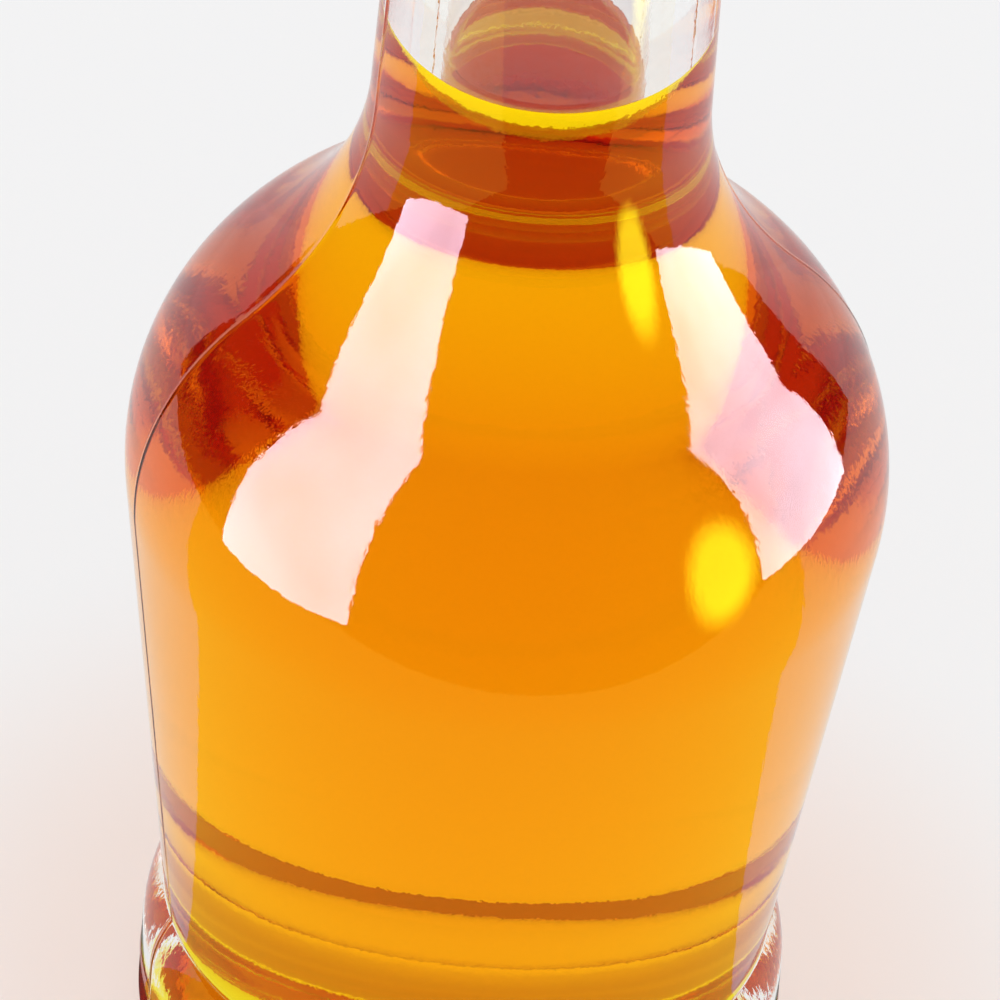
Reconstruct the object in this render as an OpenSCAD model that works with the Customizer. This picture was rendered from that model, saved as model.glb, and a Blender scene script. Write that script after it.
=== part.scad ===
// Glass bottle with a domed shoulder, filled with oil and closed by a wood-topped cork.
// The axis is +Z and the origin is the middle of the base, where it stands.

/* [Body] */
// Diameter at the widest line, under the shoulder
body_d = 70; // [60:1:84]
// Height of the widest line
widest_h = 70; // [58:1:84]
// Radius of the domed shoulder
dome_r = 26.5; // [22:0.5:28]
// Diameter at the waist crease, where the body is narrowest
waist_d = 57.4; // [54:0.2:60]
// Height of the waist crease
waist_h = 17.5; // [14:0.5:21]

/* [Foot] */
// Diameter of the foot, under the waist
foot_d = 60.8; // [58.4:0.2:64]
// Radius of the rounded shoulder of the foot, which meets the body at the waist
foot_edge_r = 12; // [8:1:20]
// Radius of the rounded heel
heel_r = 4; // [3:0.5:6]
// Diameter of the hollow in the underside
punt_d = 44; // [30:1:45]
// Depth of the hollow in the underside
punt_h = 2.5; // [1:0.5:3.5]

/* [Neck] */
// Height of the whole bottle, to the top of its lip
bottle_h = 155; // [146:1:186]
// Diameter at the foot of the neck
neck_d = 30.5; // [27:0.5:36]
// How much narrower the neck is under the lip ring
neck_draft = 1.3; // [0:0.1:2]
// Radius of the sweep from the shoulder into the neck
neck_sweep_r = 32; // [26:1:38]
// How far the lip ring stands out from the neck
lip_proud = 2; // [1:0.25:3]
// Height of the lip ring
lip_h = 9; // [6:0.5:11]
// Radius of the lip ring's edges
lip_edge_r = 1; // [0.5:0.1:1.2]
// Diameter of the bore that takes the cork
bore_d = 18.5; // [15.5:0.1:22.2]
// Rounding at the mouth of the bore
mouth_r = 0.8; // [0.4:0.1:1]

/* [Glass] */
// Thickness of the side wall
wall = 3.4; // [2.8:0.1:4.1]
// Thickness of the glass at the middle of the base
base_t = 9; // [7:0.5:11]
// Rise of the floor inside, from its edge to its middle
floor_rise = 1.5; // [0.5:0.25:3]
// Radius inside, between the wall and the floor
floor_edge_r = 8; // [5:0.5:10]
// Radius inside, between the shoulder and the bore
throat_r = 30; // [25:1:36]

/* [Oil] */
// Headspace left between the oil and the cork
headspace = 15.5; // [8:0.5:20]
// Gap all round between the oil and the glass
oil_gap = 0.05; // [0.02:0.01:0.1]

/* [Stopper] */
// Length of the cork in the bore
cork_l = 20; // [14:0.5:24]
// Thickness of the natural cork disc at its end
disc_t = 4; // [2:0.5:6]
// Chamfer around the end of the cork
cork_chamfer = 1; // [0.5:0.1:1.5]
// How far the head stands out past the lip ring
head_overhang = 0.5; // [0:0.25:2]
// Height of the head
head_h = 14; // [11:0.5:20]
// Radius of the head's top edge
head_edge_r = 2.5; // [1:0.25:3]
// Chamfer around the head's lower edge
head_chamfer = 0.8; // [0.3:0.1:1.2]
// Diameter of the dowel between the head and the cork
peg_d = 8; // [6:0.5:10]
// Depth of the dowel's hole in the head
peg_in_head = 8; // [5:0.5:9]
// Depth of the dowel's hole in the cork
peg_in_cork = 10; // [6:0.5:10]
// Diameter of the disc let into the head
inlay_d = 22; // [16:0.5:25]
// Thickness of the disc let into the head
inlay_t = 1.5; // [1:0.1:2]
// How far the disc lies below the top of the head
inlay_sink = 0.3; // [0:0.1:0.6]

/* [Fits] */
// Gap around the cork in the bore
cork_gap = 0.05; // [0.02:0.01:0.1]
// Gap around the dowel and at the ends of its holes
peg_gap = 0.05; // [0.02:0.01:0.1]
// Gap around the inlaid disc
inlay_gap = 0.05; // [0.02:0.01:0.1]
// Gap under the head when the stopper is in
seat_gap = 0.1; // [0.05:0.05:0.3]

/* [Hidden] */
$fn = 96;
steps = 14;
dome_c = [body_d / 2 - dome_r, widest_h];
waist = [waist_d / 2, waist_h];
heel_c = [foot_d / 2 - heel_r, heel_r];
sweep_c = sweep_centre(neck_d / 2 + neck_sweep_r, dome_r + neck_sweep_r);
throat_c = sweep_centre(bore_d / 2 + throat_r, dome_r - wall + throat_r);
// Slope of the body's straight side, from the waist
side_a = tangent_angle(waist, dome_c, dome_r, -1);
// How far round the shoulder of the foot turns, from its upright side to the waist
foot_turn = acos((waist_d / 2 - foot_d / 2 + foot_edge_r) / foot_edge_r);
foot_edge_c = [foot_d / 2 - foot_edge_r, waist_h - foot_edge_r * sin(foot_turn)];
// Centre of the rounded corner between the inner wall and the floor
floor_c = corner_centre(wall + floor_edge_r, base_t - floor_rise + punt_h + floor_edge_r);
oil_h = bottle_h - cork_l - headspace;
cork_r = bore_d / 2 - cork_gap;
cork_top = bottle_h + seat_gap;
cork_end = bottle_h - cork_l;
head_d = neck_d + 2 * lip_proud + 2 * head_overhang;
head_top = cork_top + head_h;

// Centre of an arc that is far_r from the dome's centre and r_axis from the axis
function sweep_centre(r_axis, far_r) = [r_axis, widest_h + sqrt(far_r * far_r - pow(r_axis - dome_c[0], 2))];
// Direction, in degrees, of the line from p that touches the circle at c on one side
function tangent_angle(p, c, r, side) = atan2(c[1] - p[1], c[0] - p[0]) + side * asin(r / norm(c - p));
// Point at height z on the line that runs inside the body's straight side, off from it
function corner_centre(off, z) =
    let (foot = waist + off * [-sin(side_a), cos(side_a)])
    [foot[0] + (z - foot[1]) / tan(side_a), z];
// Points along an arc about c, from angle a0 to a1; a first of 1 leaves out the point at a0
function arc(c, r, a0, a1, first = 0) =
    [for (i = [first : steps]) let (a = a0 + (a1 - a0) * i / steps) c + r * [cos(a), sin(a)]];
// Direction from one centre to another
function bearing(from, to) = atan2(to[1] - from[1], to[0] - from[0]);
// Shallow arc from the axis at height z_mid out to height z_edge at radius r
function dish(r, z_mid, z_edge) =
    let (rise = z_mid - z_edge, big = (r * r + rise * rise) / (2 * rise), a = asin(r / big))
    arc([0, z_mid - big], big, 90, 90 - a);
function reversed(points) = [for (i = [len(points) - 1 : -1 : 0]) points[i]];

// Outside of the glass, from the middle of the base up to the lip
outside = concat(
    dish(punt_d / 2, punt_h, 0),
    arc(heel_c, heel_r, -90, 0),
    arc(foot_edge_c, foot_edge_r, 0, foot_turn),
    arc(dome_c, dome_r, side_a - 90, 0),
    arc(dome_c, dome_r, 0, bearing(dome_c, sweep_c), 1),
    arc(sweep_c, neck_sweep_r, bearing(dome_c, sweep_c) + 180, 180)
);

// Inside of the glass, from the middle of the floor up to the bore, drawn in by gap
function inside(gap) = concat(
    dish(floor_c[0], base_t + punt_h + gap, floor_c[1] - floor_edge_r + gap),
    arc(floor_c, floor_edge_r - gap, -90, side_a - 90),
    arc(dome_c, dome_r - wall - gap, side_a - 90, 0),
    arc(dome_c, dome_r - wall - gap, 0, bearing(dome_c, throat_c), 1),
    arc(throat_c, throat_r + gap, bearing(dome_c, throat_c) + 180, 180)
);

module glass_bottle() {
    neck_r = neck_d / 2;
    lip_r = neck_r + lip_proud;
    lip_z = bottle_h - lip_h;
    lip_edge_low = [lip_r - lip_edge_r, lip_z + lip_edge_r];
    lip_edge_high = [lip_r - lip_edge_r, bottle_h - lip_edge_r];
    mouth_c = [bore_d / 2 + mouth_r, bottle_h - mouth_r];
    color([0.9, 0.93, 0.93, 0.4])
        rotate_extrude()
            polygon(concat(
                outside,
                [[neck_r - neck_draft / 2, lip_z]],
                arc(lip_edge_low, lip_edge_r, -90, 0),
                arc(lip_edge_high, lip_edge_r, 0, 90),
                arc(mouth_c, mouth_r, 90, 180),
                reversed(inside(0))
            ));
}

module oil_fill() {
    color([0.95, 0.6, 0.05])
        rotate_extrude()
            intersection() {
                polygon(concat(inside(oil_gap), [[bore_d / 2 - oil_gap, bottle_h], [0, bottle_h]]));
                square([body_d, oil_h]);
            }
}

module cork_shank() {
    low = cork_end + disc_t;
    color([0.8, 0.63, 0.42])
        difference() {
            translate([0, 0, low])
                cylinder(h = cork_top - low, r = cork_r);
            translate([0, 0, cork_top - peg_in_cork])
                cylinder(h = peg_in_cork + 1, d = peg_d);
        }
}

module cork_end_disc() {
    color([0.76, 0.57, 0.36])
        rotate_extrude()
            polygon([
                [0, cork_end],
                [cork_r - cork_chamfer, cork_end],
                [cork_r, cork_end + cork_chamfer],
                [cork_r, cork_end + disc_t],
                [0, cork_end + disc_t]
            ]);
}

module head_peg() {
    color([0.86, 0.72, 0.5])
        translate([0, 0, cork_top - peg_in_cork + peg_gap])
            cylinder(h = peg_in_cork + peg_in_head - 2 * peg_gap, r = peg_d / 2 - peg_gap);
}

module stopper_head() {
    edge_c = [head_d / 2 - head_edge_r, head_top - head_edge_r];
    pocket = inlay_t + inlay_sink;
    color([0.55, 0.36, 0.2])
        difference() {
            rotate_extrude()
                polygon(concat(
                    [
                        [0, cork_top],
                        [head_d / 2 - head_chamfer, cork_top],
                        [head_d / 2, cork_top + head_chamfer]
                    ],
                    arc(edge_c, head_edge_r, 0, 90),
                    [[0, head_top]]
                ));
            translate([0, 0, cork_top - 1])
                cylinder(h = peg_in_head + 1, d = peg_d);
            translate([0, 0, head_top - pocket])
                cylinder(h = pocket + 1, d = inlay_d);
        }
}

module head_inlay() {
    color([0.72, 0.72, 0.7])
        translate([0, 0, head_top - inlay_sink - inlay_t])
            cylinder(h = inlay_t, r = inlay_d / 2 - inlay_gap);
}

glass_bottle();
oil_fill();
cork_shank();
cork_end_disc();
head_peg();
stopper_head();
head_inlay();
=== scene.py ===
import math

import bmesh
import bpy
from mathutils import Matrix, Quaternion, Vector, noise


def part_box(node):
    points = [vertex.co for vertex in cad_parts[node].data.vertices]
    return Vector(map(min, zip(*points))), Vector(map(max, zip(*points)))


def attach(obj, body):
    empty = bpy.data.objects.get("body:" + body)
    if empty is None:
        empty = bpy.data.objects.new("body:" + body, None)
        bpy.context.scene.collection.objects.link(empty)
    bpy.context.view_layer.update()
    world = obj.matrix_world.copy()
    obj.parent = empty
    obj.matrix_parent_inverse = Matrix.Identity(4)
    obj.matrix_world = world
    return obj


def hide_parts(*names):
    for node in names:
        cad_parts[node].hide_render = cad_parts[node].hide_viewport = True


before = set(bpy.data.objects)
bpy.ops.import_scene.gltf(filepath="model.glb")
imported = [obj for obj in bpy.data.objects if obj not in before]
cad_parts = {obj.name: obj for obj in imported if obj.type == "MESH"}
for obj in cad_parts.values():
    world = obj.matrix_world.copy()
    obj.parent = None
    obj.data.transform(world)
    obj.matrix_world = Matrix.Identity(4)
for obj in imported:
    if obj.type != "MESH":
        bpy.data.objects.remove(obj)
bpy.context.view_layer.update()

MM = 0.001

# Driving sizes of the glass, in millimetres
DOME_R = 26.5
WIDEST_H = 70.0
WAIST_R = 28.7
WAIST_H = 17.5
FOOT_R = 30.4
FOOT_EDGE_R = 12.0
HEEL_R = 4.0
PUNT_R = 22.0
PUNT_H = 2.5
NECK_R = 15.25
NECK_DRAFT = 0.65
NECK_SWEEP_R = 32.0
LIP_PROUD = 2.0
LIP_H = 9.0
LIP_EDGE_R = 1.0
BORE_R = 9.25
MOUTH_R = 0.8
WALL = 3.4
BASE_T = 9.0
FLOOR_RISE = 1.5
FLOOR_EDGE_R = 8.0
THROAT_R = 30.0
OIL_GAP = 0.05
# Small sizes of the stopper, and the number of flutes along its dowel
PEG_GAP = 0.05
INLAY_GAP = 0.05
CORK_CHAMFER = 1.0
PEG_CHAMFER = 0.6
HEAD_CHAMFER = 0.8
HEAD_EDGE_R = 2.5
POCKET_CHAMFER = 0.3
FLUTES = 16
FLUTE_DEPTH = 0.18
TOOL_MARK = 0.03
HEAD_WEAR = 0.06
INLAY_CHAMFER = 0.15
INLAY_RIM = 1.2
INLAY_SINK = 0.18
GROOVE_PITCH = 0.5
GROOVE_DEPTH = 0.025
# Height of the line that the mould's base plate leaves round the foot
BASE_SEAM_H = 7.6
# Height and length of the glass's slight waves, and height and width of the ridge at a seam
WAVE_H = 0.012
WAVE_L = 9
RIDGE_H = 0.09
RIDGE_W = 0.22
# How far light bends on entering glass and oil from air
GLASS_IOR = 1.52
OIL_IOR = 1.47
ARC_STEPS = 48
TURN_STEPS = 288
# Directions of the two seams that the halves of the mould leave, and the angles modelled beside each
SEAMS = (math.radians(18), math.radians(198))
SEAM_STEPS = (0.003, 0.006, 0.009, 0.013, 0.018)

# Sizes read from the frame, in millimetres
glass_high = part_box("glass_bottle")[1]
BODY_R = glass_high.x / MM
BOTTLE_H = glass_high.z / MM
OIL_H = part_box("oil_fill")[1].z / MM
DOME_C = (BODY_R - DOME_R, WIDEST_H)


# ---- Outlines -----------------------------------------------------------------------------------

def arc(centre, radius, start, end, steps=ARC_STEPS):
    """Points along an arc, from one angle to another in radians."""
    angles = [start + (end - start) * i / steps for i in range(steps + 1)]
    return [(centre[0] + radius * math.cos(a), centre[1] + radius * math.sin(a)) for a in angles]


def bearing(start, end):
    """Direction from one point to another, in radians."""
    return math.atan2(end[1] - start[1], end[0] - start[0])


def sweep_centre(axis_r, far_r):
    """Centre of an arc that is far_r from the dome's centre and axis_r from the axis."""
    return (axis_r, WIDEST_H + math.sqrt(far_r ** 2 - (axis_r - DOME_C[0]) ** 2))


def tangent_angle(point, centre, radius, side):
    """Direction of the line from a point that touches a circle on one side."""
    reach = math.hypot(centre[0] - point[0], centre[1] - point[1])
    return bearing(point, centre) + side * math.asin(radius / reach)


def dish(radius, z_mid, z_edge):
    """Shallow arc from the axis at height z_mid to height z_edge at a radius."""
    rise = z_mid - z_edge
    big = (radius ** 2 + rise ** 2) / (2 * rise)
    return arc((0, z_mid - big), big, math.pi / 2, math.pi / 2 - math.asin(radius / big), ARC_STEPS // 2)


def line(start, end, steps):
    """Points between two others, without the ends."""
    return [
        tuple(a + (b - a) * i / steps for a, b in zip(start, end))
        for i in range(1, steps)
    ]


WAIST = (WAIST_R, WAIST_H)
SIDE_A = tangent_angle(WAIST, DOME_C, DOME_R, -1)
HEEL_C = (FOOT_R - HEEL_R, HEEL_R)
FOOT_TURN = math.acos((WAIST_R - FOOT_R + FOOT_EDGE_R) / FOOT_EDGE_R)
FOOT_EDGE_C = (FOOT_R - FOOT_EDGE_R, WAIST_H - FOOT_EDGE_R * math.sin(FOOT_TURN))
SWEEP_C = sweep_centre(NECK_R + NECK_SWEEP_R, DOME_R + NECK_SWEEP_R)
THROAT_C = sweep_centre(BORE_R + THROAT_R, DOME_R - WALL + THROAT_R)


def floor_corner():
    """Centre of the rounded corner between the inner wall and the floor."""
    off = WALL + FLOOR_EDGE_R
    z = BASE_T - FLOOR_RISE + PUNT_H + FLOOR_EDGE_R
    foot = (WAIST[0] - off * math.sin(SIDE_A), WAIST[1] + off * math.cos(SIDE_A))
    return (foot[0] + (z - foot[1]) / math.tan(SIDE_A), z)


FLOOR_C = floor_corner()


def outside_outline():
    """Outside of the glass, from the middle of the base up to the mouth of the bore."""
    turn = bearing(DOME_C, SWEEP_C)
    lip_r = NECK_R + LIP_PROUD
    lip_z = BOTTLE_H - LIP_H
    edge = lip_r - LIP_EDGE_R
    heel = arc(HEEL_C, HEEL_R, -math.pi / 2, 0, 16)
    foot_edge = arc(FOOT_EDGE_C, FOOT_EDGE_R, 0, FOOT_TURN, 24)
    ridge = ((0, -0.3), (0.05, -0.12), (0.07, 0), (0.05, 0.12), (0, 0.3))
    seam = [(FOOT_R + out, BASE_SEAM_H + up) for out, up in ridge]
    dome = arc(DOME_C, DOME_R, SIDE_A - math.pi / 2, turn, ARC_STEPS * 2)
    sweep = arc(SWEEP_C, NECK_SWEEP_R, turn + math.pi, math.pi)
    neck_top = (NECK_R - NECK_DRAFT, lip_z)
    points = dish(PUNT_R, PUNT_H, 0)
    points += heel + line(heel[-1], seam[0], 4) + seam + line(seam[-1], foot_edge[0], 4) + foot_edge
    points += line(WAIST, dome[0], 40)
    points += dome + sweep[1:] + line(sweep[-1], neck_top, 24) + [neck_top]
    points += arc((edge, lip_z + LIP_EDGE_R), LIP_EDGE_R, -math.pi / 2, 0, 8)
    points += arc((edge, BOTTLE_H - LIP_EDGE_R), LIP_EDGE_R, 0, math.pi / 2, 8)
    points += arc((BORE_R + MOUTH_R, BOTTLE_H - MOUTH_R), MOUTH_R, math.pi / 2, math.pi, 8)
    return points


def inside_outline(gap):
    """Inside of the glass, from the middle of the floor up to the oil's level, drawn in by a gap."""
    turn = bearing(DOME_C, THROAT_C)
    edge_z = FLOOR_C[1] - FLOOR_EDGE_R
    floor = dish(FLOOR_C[0], BASE_T + PUNT_H + gap, edge_z + gap)
    corner = arc(FLOOR_C, FLOOR_EDGE_R - gap, -math.pi / 2, SIDE_A - math.pi / 2, 24)
    dome = arc(DOME_C, DOME_R - WALL - gap, SIDE_A - math.pi / 2, turn, ARC_STEPS * 2)
    throat = arc(THROAT_C, THROAT_R + gap, turn + math.pi, math.pi)
    top = (BORE_R - gap, OIL_H)
    points = floor + corner[1:] + line(corner[-1], dome[0], 40)
    points += dome + throat[1:] + line(throat[-1], top, 16) + [top]
    return points


# ---- Meshes -------------------------------------------------------------------------------------

def add(name, data):
    """A new object in the scene."""
    made = bpy.data.objects.new(name, data)
    bpy.context.scene.collection.objects.link(made)
    return made


def round_angles(steps, seams=()):
    """Angles right round the axis, with more of them close to each seam."""
    angles = [2 * math.pi * i / steps for i in range(steps)]
    for seam in seams:
        angles += [(seam + side * off) % (2 * math.pi) for side in (-1, 1) for off in SEAM_STEPS] + [seam]
    return sorted(angles)


def turned(name, outline, bends=None, angles=None, shape=None):
    """A closed solid of revolution. Each face keeps how far it bends light, by its place on the outline."""
    mesh = bmesh.new()
    bend = mesh.faces.layers.float.new("bend") if bends else None
    angles = angles or round_angles(TURN_STEPS)
    steps = len(angles)
    rings = []
    for index, (radius, z) in enumerate(outline):
        if radius < 1e-6:
            rings.append([mesh.verts.new((0, 0, z * MM))])
            continue
        ring = []
        for a in angles:
            r = radius + (shape(a, radius, z, index) if shape else 0)
            ring.append(mesh.verts.new((r * MM * math.cos(a), r * MM * math.sin(a), z * MM)))
        rings.append(ring)
    for index in range(len(rings) - 1):
        low, high = rings[index], rings[index + 1]
        for i in range(steps):
            j = (i + 1) % steps
            if len(low) == 1:
                corners = (low[0], high[j], high[i])
            elif len(high) == 1:
                corners = (low[i], low[j], high[0])
            else:
                corners = (low[i], low[j], high[j], high[i])
            face = mesh.faces.new(corners)
            face.smooth = True
            if bends:
                face[bend] = bends(index)
    bmesh.ops.recalc_face_normals(mesh, faces=mesh.faces)
    data = bpy.data.meshes.new(name)
    mesh.to_mesh(data)
    mesh.free()
    return add(name, data)


# ---- Materials ----------------------------------------------------------------------------------

def new_material(name):
    """A material with its nodes, its links and its shader."""
    made = bpy.data.materials.new(name)
    made.use_nodes = True
    nodes = made.node_tree.nodes
    return made, nodes, made.node_tree.links, nodes["Principled BSDF"]


def clear_material(name, tint):
    """A clear material that bends light by each face's own amount."""
    made, nodes, links, shader = new_material(name)
    shader.inputs["Base Color"].default_value = tint
    shader.inputs["Roughness"].default_value = 0.0
    shader.inputs["Transmission Weight"].default_value = 1.0
    bend = nodes.new("ShaderNodeAttribute")
    bend.attribute_name = "bend"
    links.new(bend.outputs["Fac"], shader.inputs["IOR"])
    return made, nodes, links


def clear_glass():
    """Bottle glass: almost colourless, with a very fine ripple."""
    made, nodes, links = clear_material("clear_glass", (0.985, 0.99, 0.985, 1))
    where = nodes.new("ShaderNodeTexCoord").outputs["Object"]
    ripple = texture(nodes, links, "ShaderNodeTexNoise", where, (1, 1, 0.5), Scale=1500, Detail=2)
    raised(nodes, links, nodes["Principled BSDF"], ripple.outputs["Fac"], 0.000008)
    return made


def amber_oil():
    """Clear oil that takes out blue, and some green, along the light's way through it."""
    made, nodes, links = clear_material("amber_oil", (1, 1, 1, 1))
    volume = nodes.new("ShaderNodeVolumeAbsorption")
    volume.inputs["Color"].default_value = (0.9895, 0.93, 0.0, 1)
    volume.inputs["Density"].default_value = 300.0
    links.new(volume.outputs[0], nodes["Material Output"].inputs["Volume"])
    return made


def texture(nodes, links, kind, coordinate, scale, **values):
    """A texture in the object's own coordinates, in metres, stretched by a scale on each axis."""
    stretch = nodes.new("ShaderNodeMapping")
    stretch.inputs["Scale"].default_value = scale
    links.new(coordinate, stretch.inputs["Vector"])
    made = nodes.new(kind)
    links.new(stretch.outputs[0], made.inputs["Vector"])
    for socket, value in values.items():
        made.inputs[socket].default_value = value
    return made


def feed(links, source, socket):
    """Gives a socket another socket's output, or a plain value."""
    if hasattr(source, "links"):
        links.new(source, socket)
    else:
        socket.default_value = source


def combine(nodes, links, operation, first, second):
    """The product, difference or larger of two values."""
    made = nodes.new("ShaderNodeMath")
    made.operation = operation
    feed(links, first, made.inputs[0])
    feed(links, second, made.inputs[1])
    return made.outputs[0]


def choose(nodes, links, factor, first, second):
    """The first value where the factor is 0, and the second where it is 1."""
    made = nodes.new("ShaderNodeMix")
    feed(links, factor, made.inputs["Factor"])
    feed(links, first, made.inputs["A"])
    feed(links, second, made.inputs["B"])
    return made.outputs["Result"]


def mapped(nodes, links, value, start, end, kind="SMOOTHSTEP"):
    """A value that runs from start[1] to end[1] as another runs from start[0] to end[0]."""
    made = nodes.new("ShaderNodeMapRange")
    made.interpolation_type = kind
    links.new(value, made.inputs["Value"])
    made.inputs["From Min"].default_value, made.inputs["To Min"].default_value = start
    made.inputs["From Max"].default_value, made.inputs["To Max"].default_value = end
    return made.outputs["Result"]


def length_of(nodes, links, vector):
    made = nodes.new("ShaderNodeVectorMath")
    made.operation = "LENGTH"
    links.new(vector, made.inputs[0])
    return made.outputs["Value"]


def ramp(nodes, links, factor, stops):
    """Colours at places along a factor, with a smooth run between them."""
    made = nodes.new("ShaderNodeValToRGB")
    elements = made.color_ramp.elements
    while len(elements) < len(stops):
        elements.new(0.5)
    for element, (position, colour) in zip(elements, stops):
        element.position = position
        element.color = (*colour, 1)
    links.new(factor, made.inputs[0])
    return made


def blend(nodes, links, factor, first, second, kind="MIX"):
    """Two colours mixed, or multiplied, by a factor."""
    made = nodes.new("ShaderNodeMix")
    made.data_type = "RGBA"
    made.blend_type = kind
    for source, socket in ((factor, 0), (first, 6), (second, 7)):
        feed(links, source, made.inputs[socket])
    return made.outputs[2]


def raised(nodes, links, shader, height, distance):
    """Gives a shader a bump from a height, as deep as a distance in metres."""
    bump = nodes.new("ShaderNodeBump")
    bump.inputs["Distance"].default_value = distance
    links.new(height, bump.inputs["Height"])
    links.new(bump.outputs[0], shader.inputs["Normal"])


def cork(name, pale, dark, grain, pore_share):
    """Cork with grains of two sizes, dark pores and a dull, slightly uneven surface."""
    made, nodes, links, shader = new_material(name)
    where = nodes.new("ShaderNodeTexCoord").outputs["Object"]
    grains = texture(nodes, links, "ShaderNodeTexVoronoi", where, (1, 1, 1), Scale=grain)
    tone = ramp(nodes, links, grains.outputs["Color"], [(0.1, dark), (0.9, pale)])
    mottle = texture(nodes, links, "ShaderNodeTexNoise", where, (1, 1, 0.6), Scale=grain * 0.3, Detail=6)
    shade = ramp(nodes, links, mottle.outputs["Fac"], [(0.35, (0.82, 0.78, 0.72)), (0.65, (1, 1, 1))])
    colour = blend(nodes, links, 1.0, tone.outputs[0], shade.outputs[0], "MULTIPLY")
    pores = texture(nodes, links, "ShaderNodeTexNoise", where, (1, 1, 0.35), Scale=grain * 0.55, Detail=4)
    edges = [(pore_share, (1, 1, 1)), (pore_share + 0.03, (0, 0, 0))]
    pore = ramp(nodes, links, pores.outputs["Fac"], edges)
    colour = blend(nodes, links, pore.outputs[0], colour, (0.12, 0.06, 0.03, 1))
    links.new(colour, shader.inputs["Base Color"])
    rough = ramp(nodes, links, mottle.outputs["Fac"], [(0.3, (0.72, 0.72, 0.72)), (0.7, (0.9, 0.9, 0.9))])
    links.new(rough.outputs[0], shader.inputs["Roughness"])
    sunk = combine(nodes, links, "SUBTRACT", grains.outputs["Distance"], pore.outputs[0])
    raised(nodes, links, shader, sunk, 0.00025)
    return made


def wood(name, pale, dark, line, sheen):
    """Turned wood: growth rings across the end grain, fibres along the axis and fine pores."""
    made, nodes, links, shader = new_material(name)
    where = nodes.new("ShaderNodeTexCoord").outputs["Object"]
    sway = texture(nodes, links, "ShaderNodeTexNoise", where, (60, 60, 12), Scale=1.0, Detail=3)
    moved = nodes.new("ShaderNodeMix")
    moved.data_type = "VECTOR"
    moved.inputs["Factor"].default_value = 0.006
    links.new(where, moved.inputs["A"])
    links.new(sway.outputs["Color"], moved.inputs["B"])
    offset = nodes.new("ShaderNodeVectorMath")
    offset.operation = "ADD"
    offset.inputs[1].default_value = (0.021, 0.009, 0)
    links.new(moved.outputs["Result"], offset.inputs[0])
    place = offset.outputs[0]
    rings = texture(nodes, links, "ShaderNodeTexWave", place, (1, 1, 0.15), Scale=line, Distortion=1.6)
    rings.wave_type = "RINGS"
    rings.rings_direction = "Z"
    tone = ramp(nodes, links, rings.outputs["Fac"], [(0.15, dark), (0.75, pale)])
    fibres = texture(nodes, links, "ShaderNodeTexNoise", where, (1, 1, 0.04), Scale=3200, Detail=3)
    streak = ramp(nodes, links, fibres.outputs["Fac"], [(0.38, (0.62, 0.55, 0.5)), (0.55, (1, 1, 1))])
    colour = blend(nodes, links, 0.75, tone.outputs[0], streak.outputs[0], "MULTIPLY")
    links.new(colour, shader.inputs["Base Color"])
    rough = ramp(nodes, links, fibres.outputs["Fac"], [(0.3, (sheen + 0.2,) * 3), (0.7, (sheen,) * 3)])
    links.new(rough.outputs[0], shader.inputs["Roughness"])
    raised(nodes, links, shader, streak.outputs[0], 0.00006)
    return made


def brushed_metal():
    """A spun disc: fine circles around its middle, a few scratches and a soft sheen."""
    made, nodes, links, shader = new_material("inlay_metal")
    where = nodes.new("ShaderNodeTexCoord").outputs["Object"]
    circles = texture(nodes, links, "ShaderNodeTexWave", where, (1, 1, 0), Scale=1100, Distortion=0.6)
    circles.wave_type = "RINGS"
    circles.rings_direction = "Z"
    cloud = texture(nodes, links, "ShaderNodeTexNoise", where, (1, 1, 1), Scale=180, Detail=6)
    tone = ramp(nodes, links, cloud.outputs["Fac"], [(0.3, (0.46, 0.44, 0.41)), (0.7, (0.66, 0.65, 0.62))])
    links.new(tone.outputs[0], shader.inputs["Base Color"])
    shader.inputs["Metallic"].default_value = 1.0
    rough = ramp(nodes, links, cloud.outputs["Fac"], [(0.3, (0.24, 0.24, 0.24)), (0.7, (0.42, 0.42, 0.42))])
    links.new(rough.outputs[0], shader.inputs["Roughness"])
    raised(nodes, links, shader, circles.outputs["Fac"], 0.00002)
    return made


# ---- The object ---------------------------------------------------------------------------------

outer = outside_outline()
inner = inside_outline(0)


def moulded(angle, radius, z, index):
    """The outside's slight waves, and the ridge that each seam of the mould leaves up the side."""
    if index >= len(outer) or z < 1:
        return 0
    spot = Vector((radius * math.cos(angle), radius * math.sin(angle), z))
    wave = WAVE_H * noise.noise(spot / WAVE_L)
    turns = [abs((angle - seam + math.pi) % (2 * math.pi) - math.pi) for seam in SEAMS]
    ridge = RIDGE_H * math.exp(-(min(turns) * radius / RIDGE_W) ** 2)
    return (wave + ridge) * min(1, (z - 1) / 4)


def glass_bend(index):
    """The wall that the oil wets bends nothing by itself, as the oil's own face does all of it."""
    return 1.0 if index >= len(outer) else GLASS_IOR


glass = turned("bottle_glass", outer + inner[::-1], glass_bend, round_angles(TURN_STEPS, SEAMS), moulded)
glass.data.materials.append(clear_glass())
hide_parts("glass_bottle")
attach(glass, "bottle")

oil_wall = inside_outline(OIL_GAP)
oil_top = line(oil_wall[-1], (0, OIL_H), 8) + [(0, OIL_H)]


def oil_bend(index):
    """The oil's level is against air and the rest of it against glass."""
    return OIL_IOR if index >= len(oil_wall) - 1 else OIL_IOR / GLASS_IOR


oil = turned("oil_body", oil_wall + oil_top, oil_bend)
oil.data.materials.append(amber_oil())
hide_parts("oil_fill")
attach(oil, "bottle")


# ---- The stopper --------------------------------------------------------------------------------

def sizes(node):
    """Radius, low end and high end of a turned CAD node, in millimetres."""
    low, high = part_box(node)
    return high.x / MM, low.z / MM, high.z / MM


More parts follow.
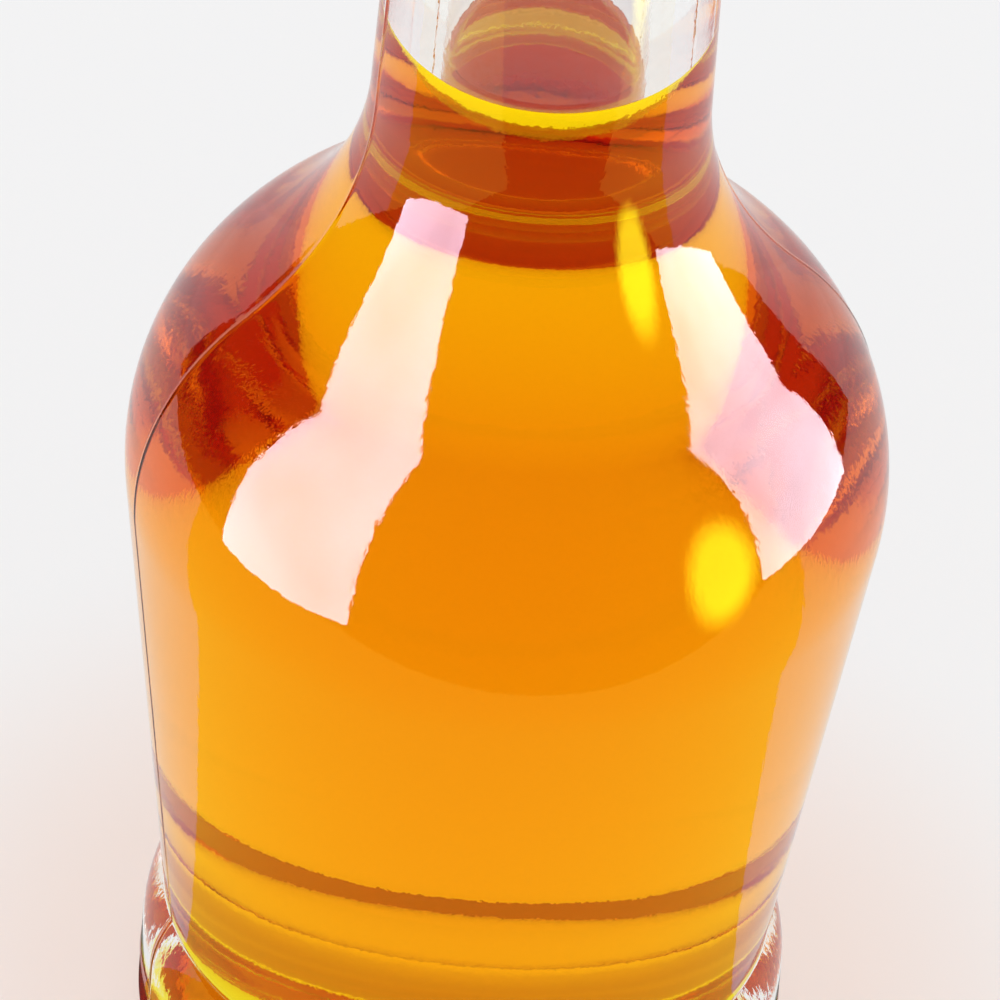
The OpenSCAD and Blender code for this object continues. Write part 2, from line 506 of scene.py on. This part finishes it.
def pitted(depth, size, seed):
    """Sinks small pits and lenticels into a turned surface, never past its outline."""
    def shape(angle, radius, z, index):
        if radius < 2:
            return 0
        spot = Vector((radius * math.cos(angle), radius * math.sin(angle), z * 0.7)) / size
        spot += Vector((seed, 0, seed))
        pit = max(0.0, noise.noise(spot) - 0.18) * 2.2
        grain = 0.5 + 0.5 * noise.noise(spot * 3.1)
        return -depth * (0.8 * min(1.0, pit) + 0.2 * grain)
    return shape


def with_lines(corners, spacing):
    """An outline through corners, with points between them at most a spacing apart."""
    points = [corners[0]]
    for start, end in zip(corners, corners[1:]):
        gap = math.hypot(end[0] - start[0], end[1] - start[1])
        points += line(start, end, max(1, math.ceil(gap / spacing))) + [end]
    return points


def finish_piece(piece, material, node):
    """Gives a piece of the stopper its material and its place in the frame."""
    piece.data.materials.append(material)
    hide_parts(node)
    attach(piece, "stopper")


peg_r, peg_low, peg_high = sizes("head_peg")
hole_r, hole_low, hole_high = peg_r + PEG_GAP, peg_low - PEG_GAP, peg_high + PEG_GAP

cork_r, shank_low, shank_high = sizes("cork_shank")
shank = with_lines([
    (0, shank_low), (cork_r, shank_low), (cork_r, shank_high),
    (hole_r, shank_high), (hole_r, hole_low), (0, hole_low),
], 0.5)
shank_piece = turned("cork_body", shank, angles=round_angles(180), shape=pitted(0.16, 1.3, 3.7))
shank_cork = cork("pressed_cork", (0.62, 0.40, 0.22), (0.40, 0.22, 0.10), 620, 0.33)
finish_piece(shank_piece, shank_cork, "cork_shank")

disc_r, disc_low, disc_high = sizes("cork_end_disc")
disc = with_lines([
    (0, disc_low), (disc_r - CORK_CHAMFER, disc_low), (disc_r, disc_low + CORK_CHAMFER),
    (disc_r, disc_high), (0, disc_high),
], 0.4)
disc_piece = turned("cork_disc", disc, angles=round_angles(180), shape=pitted(0.2, 1.8, 9.2))
disc_cork = cork("natural_cork", (0.60, 0.36, 0.18), (0.46, 0.26, 0.12), 300, 0.36)
finish_piece(disc_piece, disc_cork, "cork_end_disc")


def fluted(angle, radius, z, index):
    """Glue grooves along the dowel."""
    return -FLUTE_DEPTH * max(0.0, math.cos(FLUTES * angle)) ** 3 if radius > 2 else 0


peg = with_lines([
    (0, peg_low), (peg_r - PEG_CHAMFER, peg_low), (peg_r, peg_low + PEG_CHAMFER),
    (peg_r, peg_high - PEG_CHAMFER), (peg_r - PEG_CHAMFER, peg_high), (0, peg_high),
], 1.0)
peg_piece = turned("head_dowel", peg, angles=round_angles(192), shape=fluted)
peg_wood = wood("pale_dowel", (0.80, 0.62, 0.38), (0.66, 0.47, 0.26), 260, 0.5)
finish_piece(peg_piece, peg_wood, "head_peg")

head_r, head_low, head_high = sizes("stopper_head")
inlay_r, inlay_low, inlay_high = sizes("head_inlay")
pocket_r = inlay_r + INLAY_GAP
head = [(0, hole_high), (hole_r, hole_high), (hole_r, head_low), (head_r - HEAD_CHAMFER, head_low)]
head = with_lines(head, 1.0) + arc(
    (head_r - HEAD_CHAMFER, head_low + HEAD_CHAMFER), HEAD_CHAMFER, -math.pi / 2, 0, 8)[1:]
head += line(head[-1], (head_r, head_high - HEAD_EDGE_R), 40)
head += arc((head_r - HEAD_EDGE_R, head_high - HEAD_EDGE_R), HEAD_EDGE_R, 0, math.pi / 2, 20)
head += with_lines([
    (pocket_r + POCKET_CHAMFER, head_high), (pocket_r, head_high - POCKET_CHAMFER),
    (pocket_r, inlay_low), (0, inlay_low),
], 0.5)


def hand_turned(angle, radius, z, index):
    """Slight tool marks round the head, and wear that rounds its side a little."""
    if radius < pocket_r + 1 or z < head_low + 0.5:
        return 0
    spot = Vector((radius * math.cos(angle), radius * math.sin(angle), z))
    return -TOOL_MARK * (0.5 + 0.5 * math.sin(z * 9)) - HEAD_WEAR * (0.5 + 0.5 * noise.noise(spot / 6))


head_piece = turned("wood_head", head, angles=round_angles(256), shape=hand_turned)
head_wood = wood("stained_wood", (0.36, 0.19, 0.09), (0.20, 0.095, 0.042), 210, 0.36)
finish_piece(head_piece, head_wood, "stopper_head")

rim = inlay_r - INLAY_RIM
face_z = inlay_high - INLAY_SINK
face = [
    (0, inlay_low), (inlay_r, inlay_low),
    (inlay_r, inlay_high - INLAY_CHAMFER), (inlay_r - INLAY_CHAMFER, inlay_high),
]
face = with_lines(face, 0.8) + [(rim, inlay_high), (rim - 0.2, face_z)]
for k in range(int(rim / GROOVE_PITCH)):
    r = rim - 0.45 - GROOVE_PITCH * k
    if r > GROOVE_PITCH:
        face += [(r, face_z), (r - GROOVE_PITCH / 2, face_z - GROOVE_DEPTH)]
face += [(0, face_z)]
inlay_piece = turned("inlay_disc", face, angles=round_angles(192))
finish_piece(inlay_piece, brushed_metal(), "head_inlay")


# ---- Stage --------------------------------------------------------------------------------------

def unseen_by(made, kinds):
    """Keeps an object out of some kinds of ray."""
    for kind in kinds:
        setattr(made, "visible_" + kind, False)


def card(name, corners, strengths, colour=(1, 1, 1), uneven=0):
    """A glowing panel that the camera doesn't see, in metres, with its strength in each kind of ray."""
    data = bpy.data.meshes.new(name)
    data.from_pydata(corners, [], [tuple(range(len(corners)))])
    made = add(name, data)
    material, nodes, links, shader = new_material(name)
    nodes.remove(shader)
    glow = nodes.new("ShaderNodeEmission")
    glow.inputs["Color"].default_value = (*colour, 1)
    refracted = nodes.new("ShaderNodeLightPath").outputs["Is Transmission Ray"]
    level = choose(nodes, links, refracted, strengths.get("glossy", 0), strengths.get("transmission", 0))
    if uneven:
        where = nodes.new("ShaderNodeTexCoord").outputs["Object"]
        cloud = texture(nodes, links, "ShaderNodeTexNoise", where, (1, 1, 0.6), Scale=9, Detail=2)
        share = mapped(nodes, links, cloud.outputs["Fac"], (0.3, 1 - uneven), (0.7, 1 + uneven), "LINEAR")
        level = combine(nodes, links, "MULTIPLY", level, share)
    links.new(level, glow.inputs["Strength"])
    links.new(glow.outputs[0], nodes["Material Output"].inputs["Surface"])
    data.materials.append(material)
    unseen_by(made, ["camera", "diffuse", "shadow"])
    unseen_by(made, [kind for kind in ("glossy", "transmission") if kind not in strengths])


def panel(name, azimuth, distance, width, height, strengths, colour):
    """An upright panel that stands on the floor and faces the bottle; azimuth 0 is the front."""
    a = math.radians(azimuth)
    out = Vector((math.sin(a), -math.cos(a), 0))
    side = Vector((math.cos(a), math.sin(a), 0))
    foot = out * distance
    up = Vector((0, 0, height))
    corners = [foot - side * width / 2, foot + side * width / 2]
    corners += [corners[1] + up, corners[0] + up]
    card(name, corners, strengths, colour, uneven=0.16)


panel("left_softbox", -58, 0.25, 0.19, 0.45, {"glossy": 12.5, "transmission": 1.3}, (0.95, 0.84, 1.05))
panel("right_softbox", 96, 0.39, 0.27, 0.48, {"glossy": 11.5, "transmission": 1.3}, (0.95, 0.88, 0.98))
WALL_LEFT, WALL_RIGHT, WALL_Y, WALL_TOP = -0.55, 0.44, 0.36, 0.6
card("back_wall", [
    (WALL_LEFT, WALL_Y, 0), (WALL_RIGHT, WALL_Y, 0),
    (WALL_RIGHT, WALL_Y, WALL_TOP), (WALL_LEFT, WALL_Y, WALL_TOP),
], {"glossy": 0.9, "transmission": 0.9})
# The sheet stops at a round hole under the bottle, so that no ray meets it inside the glass
HOLE = arc((0, 0), 0.034, 0, math.pi, 16)
FRONT_SHEET = [
    (-0.285, -0.074), (-0.16, -0.187), (-0.05, -0.164), (0.07, -0.13),
    (0.14, -0.116), (0.40, -0.07), (0.42, 0),
] + [(x, -y) for x, y in HOLE] + [(-0.34, 0)]
BACK_SHEET = [(0.42, 0), (0.45, 0.2), (WALL_RIGHT, WALL_Y), (WALL_LEFT, WALL_Y), (-0.44, 0.19), (-0.34, 0)]
BACK_SHEET += HOLE[::-1]
# The front sheet's amber colour is painted amber light, which the bottle would cast on the floor in front
# of it; only reflections see it
card("amber_lit_front_sheet", [(x, y, 0.0002) for x, y in FRONT_SHEET], {"glossy": 0.9}, (1, 0.8, 0.12))
card("back_sheet", [(x, y, 0.0002) for x, y in BACK_SHEET], {"glossy": 0.8})


def gleam(name, azimuth, distance, side, height, half_width, half_height, strength, colour):
    """A soft oval of light beside the bottle, which only its reflection shows."""
    a = math.radians(azimuth)
    out = Vector((math.sin(a), -math.cos(a), 0))
    across = Vector((math.cos(a), math.sin(a), 0))
    data = bpy.data.meshes.new(name)
    data.from_pydata([(-1, -1, 0), (1, -1, 0), (1, 1, 0), (-1, 1, 0)], [], [(0, 1, 2, 3)])
    made = add(name, data)
    made.matrix_world = Matrix((
        (across.x * half_width, 0, out.x, out.x * distance + across.x * side),
        (across.y * half_width, 0, out.y, out.y * distance + across.y * side),
        (0, half_height, 0, height),
        (0, 0, 0, 1),
    ))
    material, nodes, links, shader = new_material(name)
    nodes.remove(shader)
    far = length_of(nodes, links, nodes.new("ShaderNodeTexCoord").outputs["Object"])
    glow = nodes.new("ShaderNodeEmission")
    glow.inputs["Color"].default_value = (*colour, 1)
    links.new(mapped(nodes, links, far, (0.45, strength), (1, 0)), glow.inputs["Strength"])
    both = nodes.new("ShaderNodeAddShader")
    links.new(glow.outputs[0], both.inputs[0])
    links.new(nodes.new("ShaderNodeBsdfTransparent").outputs[0], both.inputs[1])
    links.new(both.outputs[0], nodes["Material Output"].inputs["Surface"])
    data.materials.append(material)
    unseen_by(made, ["camera", "diffuse", "shadow", "transmission"])


gleam("amber_gleam", 66, 0.14, -0.014, 0.081, 0.031, 0.052, 12, (1, 1, 0.02))

# Distances from the axis over which the floor's painted pool of light, its painted shade under the bottle
# and its painted amber light beside the bottle change, in metres
PAINTED_POOL_EDGE = (0.115, 0.16)
SHADE_EDGE = (0.032, 0.042)
PAINTED_AMBER_LIGHT_EDGE = (0.036, 0.075)
# Colours of the painted shade under the bottle, of the painted amber light beside it, and of the open sheet
SHADE = (0.56, 0.27, 0.05, 1)
PAINTED_AMBER_LIGHT = (1, 0.83, 0.76, 1)
SHEET = (1, 1, 1.01, 1)


def floor_sheet():
    """The pale sheet, which keeps the shadow and glows a little where it is seen or refracted, with a
    painted shade under the bottle, painted amber light beside it and a painted pool of light round it.
    """
    made, nodes, links, shader = new_material("floor")
    nodes.remove(shader)
    path = nodes.new("ShaderNodeLightPath")
    seen, refracted = path.outputs["Is Camera Ray"], path.outputs["Is Transmission Ray"]
    cover = combine(nodes, links, "MULTIPLY", combine(nodes, links, "MAXIMUM", seen, refracted), 0.6)
    reach = length_of(nodes, links, nodes.new("ShaderNodeNewGeometry").outputs["Position"])
    matt = nodes.new("ShaderNodeBsdfDiffuse")
    matt.inputs["Color"].default_value = (0.8, 0.8, 0.8, 1)
    # Painted pool of light: the sheet glows brighter round the bottle, where the bottle gathers light on
    # it, which shows through the oil
    painted_light_pool = mapped(nodes, links, reach, (PAINTED_POOL_EDGE[0], 1.5), (PAINTED_POOL_EDGE[1], 0.95))
    glow = nodes.new("ShaderNodeEmission")
    links.new(choose(nodes, links, refracted, 1.02, painted_light_pool), glow.inputs["Strength"])
    # Painted shade: the glow turns dark amber under the bottle, where its shadow falls
    open_sheet = mapped(nodes, links, reach, (SHADE_EDGE[0], 0), (SHADE_EDGE[1], 1))
    shaded = blend(nodes, links, open_sheet, SHADE, SHEET)
    # Painted amber light: the glow that the camera sees is tinted warm close round the bottle, as if lit
    # through the oil
    amber_light_mask = mapped(nodes, links, reach, (PAINTED_AMBER_LIGHT_EDGE[0], 1), (PAINTED_AMBER_LIGHT_EDGE[1], 0))
    amber_light = combine(nodes, links, "MULTIPLY", amber_light_mask, seen)
    links.new(blend(nodes, links, amber_light, shaded, PAINTED_AMBER_LIGHT), glow.inputs["Color"])
    mix = nodes.new("ShaderNodeMixShader")
    links.new(cover, mix.inputs[0])
    links.new(matt.outputs[0], mix.inputs[1])
    links.new(glow.outputs[0], mix.inputs[2])
    links.new(mix.outputs[0], nodes["Material Output"].inputs["Surface"])
    return made


floor_data = bpy.data.meshes.new("floor")
floor_data.from_pydata([(-4, -4, 0), (4, -4, 0), (4, 4, 0), (-4, 4, 0)], [], [(0, 1, 2, 3)])
floor_data.materials.append(floor_sheet())
floor = add("floor", floor_data)
floor.location.z = -0.00005
unseen_by(floor, ["glossy"])


def studio_world():
    """Soft white light all round, which reflections hardly show and refraction does."""
    made = bpy.data.worlds.new("studio")
    made.use_nodes = True
    nodes, links = made.node_tree.nodes, made.node_tree.links
    sky = nodes["Background"]
    sky.inputs["Color"].default_value = (1, 1, 1, 1)
    path = nodes.new("ShaderNodeLightPath")
    reflected = choose(nodes, links, path.outputs["Is Glossy Ray"], 0.9, 0.03)
    refracted = choose(nodes, links, path.outputs["Is Transmission Ray"], reflected, 0.85)
    links.new(refracted, sky.inputs["Strength"])
    return made


bpy.context.scene.world = studio_world()

# ---- Camera -------------------------------------------------------------------------------------

ELEVATION = math.radians(40)
ROLL = math.radians(5.37)
AIM = Vector((-0.0003, 0, 0.065))
DISTANCE = 1.02
lens = bpy.data.cameras.new("camera")
lens.lens = 400
lens.sensor_width = 36
lens.clip_start = 0.1
lens.clip_end = 20
camera = add("camera", lens)
back = Vector((0, -math.cos(ELEVATION), math.sin(ELEVATION)))
camera.location = AIM + back * DISTANCE
camera.rotation_mode = "QUATERNION"
turn = (-back).to_track_quat("-Z", "Y")
camera.rotation_quaternion = turn @ Quaternion((0, 0, 1), ROLL)
bpy.context.scene.camera = camera

bpy.context.scene.view_settings.view_transform = "Standard"
# Light caught inside the glass and the oil turns many times before it comes out
BOUNCES = 96
cycles = bpy.context.scene.cycles
cycles.max_bounces = BOUNCES
cycles.transmission_bounces = BOUNCES
cycles.glossy_bounces = BOUNCES
cycles.transparent_max_bounces = BOUNCES
